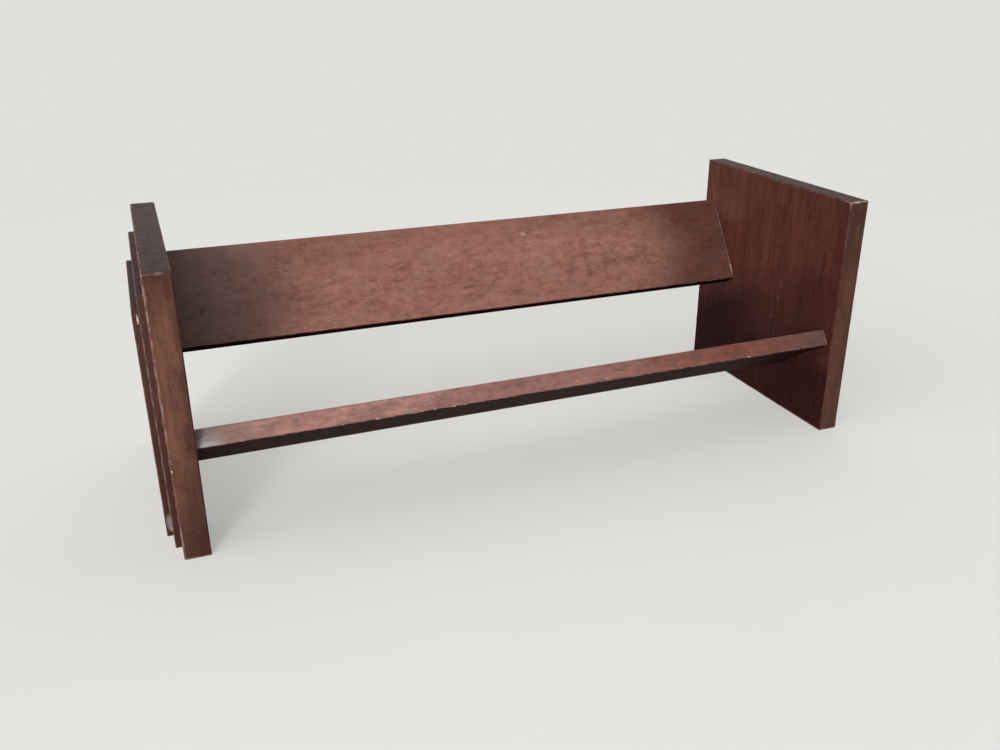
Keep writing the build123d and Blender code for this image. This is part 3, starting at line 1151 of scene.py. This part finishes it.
class BOOKRACK_OT_end_panels(bpy.types.Operator):
    """Make the two upright end panels"""

    bl_idname = "bookrack.end_panels"
    bl_label = "End Panels"

    def execute(self, context):
        nicks = {
            "left": [
                ((-244.6, -91.1, 180.1), (1.5, 1.1, 1.3)),
                ((-239.0, -91.2, 180.2), (2.0, 0.6, 0.6)),
                ((-233.0, -91.2, 180.2), (2.6, 0.55, 0.55)),
                ((-244.7, -91.2, 176.5), (0.8, 0.8, 2.4)),
                ((-244.6, -91.1, 60.6), (1.2, 1.1, 1.0)),
                ((-244.8, -91.2, 71.5), (0.6, 0.6, 1.1)),
                ((-244.8, -91.2, 81.4), (0.6, 0.6, 1.3)),
                ((-244.8, -91.2, 42.0), (0.55, 0.55, 0.9)),
                ((-244.8, -91.2, 33.8), (0.55, 0.55, 1.2)),
                ((-244.7, -91.2, 2.9), (0.7, 0.7, 1.6)),
                *scattered_nicks((-244.8, -91.2, 62.0), (-244.8, -91.2, 150.0), 13, 61),
                ((-244.7, -91.1, 12.6), (0.8, 0.8, 2.6)),
                *scattered_nicks((-244.8, -91.2, 5.0), (-244.8, -91.2, 40.0), 6, 62),
            ],
            "right": [
                ((228.4, -91.1, 180.1), (1.3, 1.1, 1.3)),
                ((233.5, -91.1, 180.1), (5.5, 0.9, 0.9)),
                ((240.5, -91.15, 180.15), (4.5, 0.8, 0.8)),
                ((228.2, -91.15, 178.0), (0.7, 0.7, 2.2)),
                ((244.8, -91.2, 121.0), (0.55, 0.55, 1.2)),
                ((228.2, -91.2, 22.0), (0.5, 0.5, 1.6)),
            ],
        }
        for number, side in enumerate(SIDES):
            board = upright_board(
                f"end_panel_{side}", f"upright_end_{side}", side, (1.3 + number, 0.4, 0.2)
            )
            cutters = nick_cutters(nicks[side], 11 + number)
            cutters += countersunk_holes(side, board["size"][2])
            arris = context.scene.rack_sizes.end_arris
            make_board(board, arris, {FOOT}, panel_finish(), cutters)
        return {"FINISHED"}


class BOOKRACK_OT_step_boards(bpy.types.Operator):
    """Make the two thin step boards on the outside of each end"""

    bl_idname = "bookrack.step_boards"
    bl_label = "Step Boards"

    def execute(self, context):
        nicks = {
            "inner_left": [
                ((-248.6, -75.3, 164.3), (0.9, 0.9, 0.9)),
                ((-248.7, -75.4, 56.6), (0.5, 0.5, 0.9)),
                ((-248.7, -75.4, 2.3), (0.8, 0.8, 1.4)),
            ],
            "outer_left": [
                ((-249.6, -59.5, 144.8), (0.6, 0.45, 3.6)),
                ((-252.7, -59.6, 148.4), (0.5, 0.5, 0.5)),
            ],
        }
        nicks["inner_right"] = mirrored(nicks["inner_left"][1:2])
        nicks["outer_right"] = mirrored(nicks["outer_left"][1:])
        for step, layer in enumerate(("inner", "outer")):
            for number, side in enumerate(SIDES):
                board = upright_board(
                    f"{layer}_step_board_{side}",
                    f"{layer}_step_{side}",
                    side,
                    (3.1 + number, 1.7 + step, 0.9),
                )
                # A board's thickness runs along its own Z axis, which points to -X.
                glued = (2, -1) if side == "left" else (2, 1)
                cutters = nick_cutters(nicks[f"{layer}_{side}"], 21 + 2 * step + number)
                arris = context.scene.rack_sizes.board_arris
                make_board(board, arris, {FOOT, glued}, step_finish(), cutters)
        return {"FINISHED"}


class BOOKRACK_OT_back_board(bpy.types.Operator):
    """Make the leaning back board"""

    bl_idname = "bookrack.back_board"
    bl_label = "Back Board"

    def execute(self, context):
        sizes = context.scene.rack_sizes
        board = lengthwise_board(
            "back_board",
            "leaning_back_board",
            QUARTER_TURN - sizes.lean,
            sizes.back_width,
            sizes.back_thickness,
            (5.2, 2.6, 1.1),
        )
        top = board["size"][1] / 2 / MM
        nicks = [
            (on_lean(board, -52.0, top), (1.6, 0.5, 0.5)),
            (on_lean(board, 8.0, top), (2.2, 0.6, 0.6)),
            (on_lean(board, 74.0, top), (2.0, 0.5, 0.5)),
            (on_lean(board, -116.5, 5.0 - top), (3.4, 0.35, 0.35)),
        ]
        cutters = nick_cutters(nicks, 31) + pilot_holes("back_board")
        make_board(board, sizes.board_arris, BUTT_ENDS, back_finish(), cutters)
        return {"FINISHED"}


class BOOKRACK_OT_seat_rail(bpy.types.Operator):
    """Make the seat rail that slopes down to the back"""

    bl_idname = "bookrack.seat_rail"
    bl_label = "Seat Rail"

    def execute(self, context):
        sizes = context.scene.rack_sizes
        board = lengthwise_board(
            "seat_rail",
            "sloping_seat_rail",
            -sizes.lean,
            sizes.rail_width,
            sizes.rail_thickness,
            (7.4, 0.3, 2.2),
        )
        front = -board["size"][1] / 2 / MM
        thickness = board["size"][2] / MM
        # Each nick is its place along the rail, its height up the front edge and its half sizes.
        spots = [
            (-69.4, 0.4, (1.5, 0.6, 0.6)),
            (19.1, 3.9, (0.9, 0.4, 0.7)),
            (41.5, 1.9, (0.8, 0.4, 0.6)),
            (158.0, 0.6, (1.6, 0.7, 0.7)),
            (-162.0, 0.1, (2.6, 0.5, 0.4)),
            (-157.0, 0.0, (1.6, 0.6, 0.5)),
            (-153.5, 0.2, (1.2, 0.4, 0.4)),
            (-118.5, 0.1, (1.4, 0.6, 0.5)),
            (-113.5, 0.1, (2.0, 0.5, 0.4)),
            (97.0, 0.1, (1.6, 0.4, 0.3)),
            (-30.0, 12.0, (1.6, 0.4, 0.3)),
        ]
        nicks = [
            (on_lean(board, along, front, thickness - height), half_sizes)
            for along, height, half_sizes in spots
        ]
        start, end = (
            on_lean(board, along, front - 0.1, thickness + 0.1) for along in (-165.0, -60.0)
        )
        nicks += scattered_nicks(start, end, 16, 63, 1.5)
        cutters = nick_cutters(nicks, 41) + pilot_holes("seat_rail")
        make_board(board, sizes.board_arris, BUTT_ENDS, rail_finish(), cutters)
        return {"FINISHED"}


class BOOKRACK_OT_glue_line(bpy.types.Operator):
    """Make the bead of dried glue in the right joint of the back board"""

    bl_idname = "bookrack.glue_line"
    bl_label = "Glue Line"

    def execute(self, context):
        sizes = context.scene.rack_sizes
        low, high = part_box("back_board")
        up = Vector((0.0, math.sin(sizes.lean), math.cos(sizes.lean)))
        face = Vector((0.0, -math.cos(sizes.lean), math.sin(sizes.lean)))
        middle = (low + high) / 2 + face * sizes.back_thickness / 2
        middle.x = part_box("end_panel_right")[0].x
        margin = 3.0 * MM
        length = sizes.back_width - 2 * margin
        deselect_all()
        bpy.ops.mesh.primitive_cylinder_add(vertices=10, radius=1.0, depth=length)
        bead = context.active_object
        bead.name = "glue_line"
        bead.data.name = "glue_line"
        bead.scale = (sizes.glue_width / 2, sizes.glue_width / 2, 1.0)
        bpy.ops.object.transform_apply(location=False, rotation=False, scale=True)
        bpy.ops.object.mode_set(mode="EDIT")
        select_edges(bead, lambda edge: runs_along(edge, 2))
        bpy.ops.mesh.subdivide(number_cuts=48)
        bpy.ops.object.mode_set(mode="OBJECT")
        dice = random.Random(51)
        rings = sorted({round(vertex.co.z / MM, 3) for vertex in bead.data.vertices})
        # The bead swells and thins along the joint, and ends in a drop at the bottom.
        girth = {}
        level = 0.6
        drop = 5  # rings from the lower end
        for number, ring in enumerate(rings):
            level = min(1.0, max(0.3, level + dice.uniform(-0.25, 0.25)))
            girth[ring] = level + 0.9 * max(0.0, 1.0 - abs(number - drop) / drop)
        girth[rings[0]] = girth[rings[-1]] = 0.25
        for vertex in bead.data.vertices:
            share = girth[round(vertex.co.z / MM, 3)]
            vertex.co.x *= share
            vertex.co.y *= share
        bead.rotation_euler = up.to_track_quat("Z", "Y").to_euler()
        bead.location = middle
        pick(bead)
        bpy.ops.object.transform_apply(location=True, rotation=True, scale=True)
        bpy.ops.object.shade_smooth_by_angle(angle=math.radians(60.0))
        bead.data.materials.append(dried_glue())
        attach(bead, "root")
        return {"FINISHED"}


class BOOKRACK_OT_screws(bpy.types.Operator):
    """Give the hidden wood screws their finish"""

    bl_idname = "bookrack.screws"
    bl_label = "Wood Screws"

    def execute(self, context):
        steel = turned_steel()
        for joint in JOINTS:
            for side in SIDES:
                screws = frame["nodes"][f"{joint}_screws_{side}"]
                screws.data.materials.clear()
                screws.data.materials.append(steel)
        return {"FINISHED"}


# Studio


def seen_by_eye(tree):
    """1 for a ray that shows the surroundings to the eye, straight or in a polished surface."""
    path = add_node(tree, "ShaderNodeLightPath").outputs
    indirect = add_node(
        tree, MATH, HIGHEST, {0: path["Is Glossy Ray"], 1: path["Is Transmission Ray"]}
    )
    return add_node(tree, MATH, HIGHEST, {0: path["Is Camera Ray"], 1: indirect})


def floor_paint():
    """Plain matt paint: pale, with hardly any shine and a slightly uneven tone."""
    scene = bpy.context.scene
    plain = scene.rack_colours.floor
    uneven = [0.98 * level for level in plain]
    material, tree, shader = new_material("Matt floor paint")
    place = add_node(tree, COORDINATES).outputs["Object"]
    # Roller marks are about 60 mm across.
    marks = add_node(tree, NOISE, None, {"Vector": place, "Scale": 16.0, "Detail": 2.0})
    colour = add_node(tree, MIX, OF_COLOURS, {SHARE: marks, FIRST: plain, SECOND: uneven})
    set_inputs(tree, shader, {"Base Color": colour, "Roughness": 0.9, "Specular IOR Level": 0.1})
    # Away from the rack the floor shows its plain colour alone, whatever lamp stands over it.
    reach = add_node(tree, VECTOR_MATH, {"operation": "LENGTH"}, {0: place}).outputs["Value"]
    near, far = 0.45, 1.0  # metres from the middle of the rack
    lift = add_node(
        tree, MAP_RANGE, SMOOTH, ramp(reach, near, far, least=scene.rack_stage.floor_lift)
    )
    share = add_node(tree, MATH, TIMES, {0: seen_by_eye(tree), 1: lift})
    strength = add_node(tree, MAP_RANGE, SMOOTH, ramp(reach, near, far, least=1.0, most=HORIZON))
    glow = add_node(tree, "ShaderNodeEmission", None, {"Color": colour, "Strength": strength})
    lifted = add_node(tree, "ShaderNodeMixShader", None, {0: share, 1: shader, 2: glow})
    output = next(node for node in tree.nodes if node.bl_idname == "ShaderNodeOutputMaterial")
    set_inputs(tree, output, {"Surface": lifted})
    return material


def even_room_light():
    """A world that lights evenly and dimly. It shows as pale at the horizon and darker above."""
    world = bpy.data.worlds.new("Even room light")
    world.use_nodes = True
    tree = world.node_tree
    tree.nodes.clear()
    pale = bpy.context.scene.rack_colours.floor
    lighting = bpy.context.scene.rack_stage.room_strength
    direction = add_node(tree, COORDINATES).outputs["Generated"]
    upwards = add_node(tree, SEPARATE, None, {0: direction}).outputs["Z"]
    shown = add_node(tree, MAP_RANGE, SMOOTH, ramp(upwards, 0.0, 0.5, least=HORIZON, most=0.25))
    strength = add_node(
        tree, MAP_RANGE, None, ramp(seen_by_eye(tree), 0.0, 1.0, least=lighting, most=shown)
    )
    background = add_node(tree, "ShaderNodeBackground", None, {"Color": pale, "Strength": strength})
    add_node(tree, "ShaderNodeOutputWorld", None, {"Surface": background})
    return world


def place_lamp(name, lamp, direction, distance):
    """Puts a lamp in that direction from the middle of the rack, and points it at the rack."""
    towards = Vector(direction).normalized()
    holder = bpy.data.objects.new(name, lamp)
    holder.rotation_euler = towards.to_track_quat("Z", "Y").to_euler()
    holder.location = (CAD_BOX[0] + CAD_BOX[1]) / 2 + distance * towards
    holder.visible_camera = False
    bpy.context.scene.collection.objects.link(holder)


class BOOKRACK_OT_stage(bpy.types.Operator):
    """Set up the plain floor, the soft lamps and the camera"""

    bl_idname = "bookrack.stage"
    bl_label = "Studio"

    def execute(self, context):
        scene = context.scene
        stage = scene.rack_stage
        deselect_all()
        bpy.ops.mesh.primitive_plane_add(size=60.0, location=(0.0, 0.0, 0.0))
        floor = context.active_object
        floor.name = "floor"
        floor.data.materials.append(floor_paint())

        key = bpy.data.lights.new("key_lamp", "AREA")
        key.shape = "DISK"
        key.size = stage.key_width
        key.energy = stage.key_strength * math.pi * stage.key_distance**2
        place_lamp("key_lamp", key, (-0.67, -1.0, 0.36), stage.key_distance)
        suns = {
            "side_lamp": ((-0.77, -0.5, 0.55), stage.side_strength, 95.0),
            "fill_lamp": ((0.85, 0.2, 0.45), stage.fill_strength, 60.0),
            "rear_lamp": ((0.25, 0.83, 0.6), stage.rear_strength, 60.0),
        }
        for name, (direction, strength, degrees) in suns.items():
            sun = bpy.data.lights.new(name, "SUN")
            sun.energy = strength
            sun.angle = math.radians(degrees)
            place_lamp(name, sun, direction, stage.key_distance)
        scene.world = even_room_light()

        camera = bpy.data.cameras.new("photo_camera")
        camera.sensor_width = SENSOR_WIDTH
        camera.lens = stage.lens_pixels * SENSOR_WIDTH / IMAGE_WIDTH
        camera.shift_x = (IMAGE_WIDTH / 2 - stage.centre_x) / IMAGE_WIDTH
        camera.shift_y = (stage.centre_y - IMAGE_HEIGHT / 2) / IMAGE_WIDTH
        camera.clip_start = 0.01
        camera.clip_end = 100.0
        holder = bpy.data.objects.new("photo_camera", camera)
        turn = (
            Matrix.Rotation(-stage.yaw, 3, "Z")
            @ Matrix.Rotation(QUARTER_TURN - stage.pitch, 3, "X")
            @ Matrix.Rotation(-stage.roll, 3, "Z")
        )
        holder.rotation_euler = turn.to_euler()
        holder.location = stage.camera_place
        scene.collection.objects.link(holder)
        scene.camera = holder
        scene.view_settings.view_transform = "Standard"
        return {"FINISHED"}


class BOOKRACK_PT_build(bpy.types.Panel):
    """Book rack pieces, sizes and colours"""

    bl_idname = "BOOKRACK_PT_build"
    bl_label = "Book Rack"
    bl_space_type = "VIEW_3D"
    bl_region_type = "UI"
    bl_category = "Book Rack"

    def draw(self, context):
        for operator in OPERATORS:
            self.layout.operator(operator.bl_idname)
        for group in SETTINGS:
            settings = getattr(context.scene, group)
            box = self.layout.box()
            for name in settings.bl_rna.properties.keys():
                if name not in ("rna_type", "name"):
                    box.prop(settings, name)


SETTINGS = {"rack_sizes": RackSizes, "rack_colours": RackColours, "rack_stage": RackStage}
OPERATORS = (
    BOOKRACK_OT_stage,
    BOOKRACK_OT_end_panels,
    BOOKRACK_OT_step_boards,
    BOOKRACK_OT_back_board,
    BOOKRACK_OT_seat_rail,
    BOOKRACK_OT_glue_line,
    BOOKRACK_OT_screws,
)


def register():
    """Registers the settings, the operators and the panel."""
    for name, group in SETTINGS.items():
        bpy.utils.register_class(group)
        setattr(bpy.types.Scene, name, bpy.props.PointerProperty(type=group))
    for operator in OPERATORS:
        bpy.utils.register_class(operator)
    bpy.utils.register_class(BOOKRACK_PT_build)


def unregister():
    """Takes back what register adds."""
    bpy.utils.unregister_class(BOOKRACK_PT_build)
    for operator in reversed(OPERATORS):
        bpy.utils.unregister_class(operator)
    for name, group in SETTINGS.items():
        delattr(bpy.types.Scene, name)
        bpy.utils.unregister_class(group)


def main():
    """Builds the rack and the studio."""
    register()
    bpy.ops.bookrack.stage()
    bpy.ops.bookrack.end_panels()
    bpy.ops.bookrack.step_boards()
    bpy.ops.bookrack.back_board()
    bpy.ops.bookrack.seat_rail()
    bpy.ops.bookrack.glue_line()
    bpy.ops.bookrack.screws()


if __name__ == "__main__":
    main()
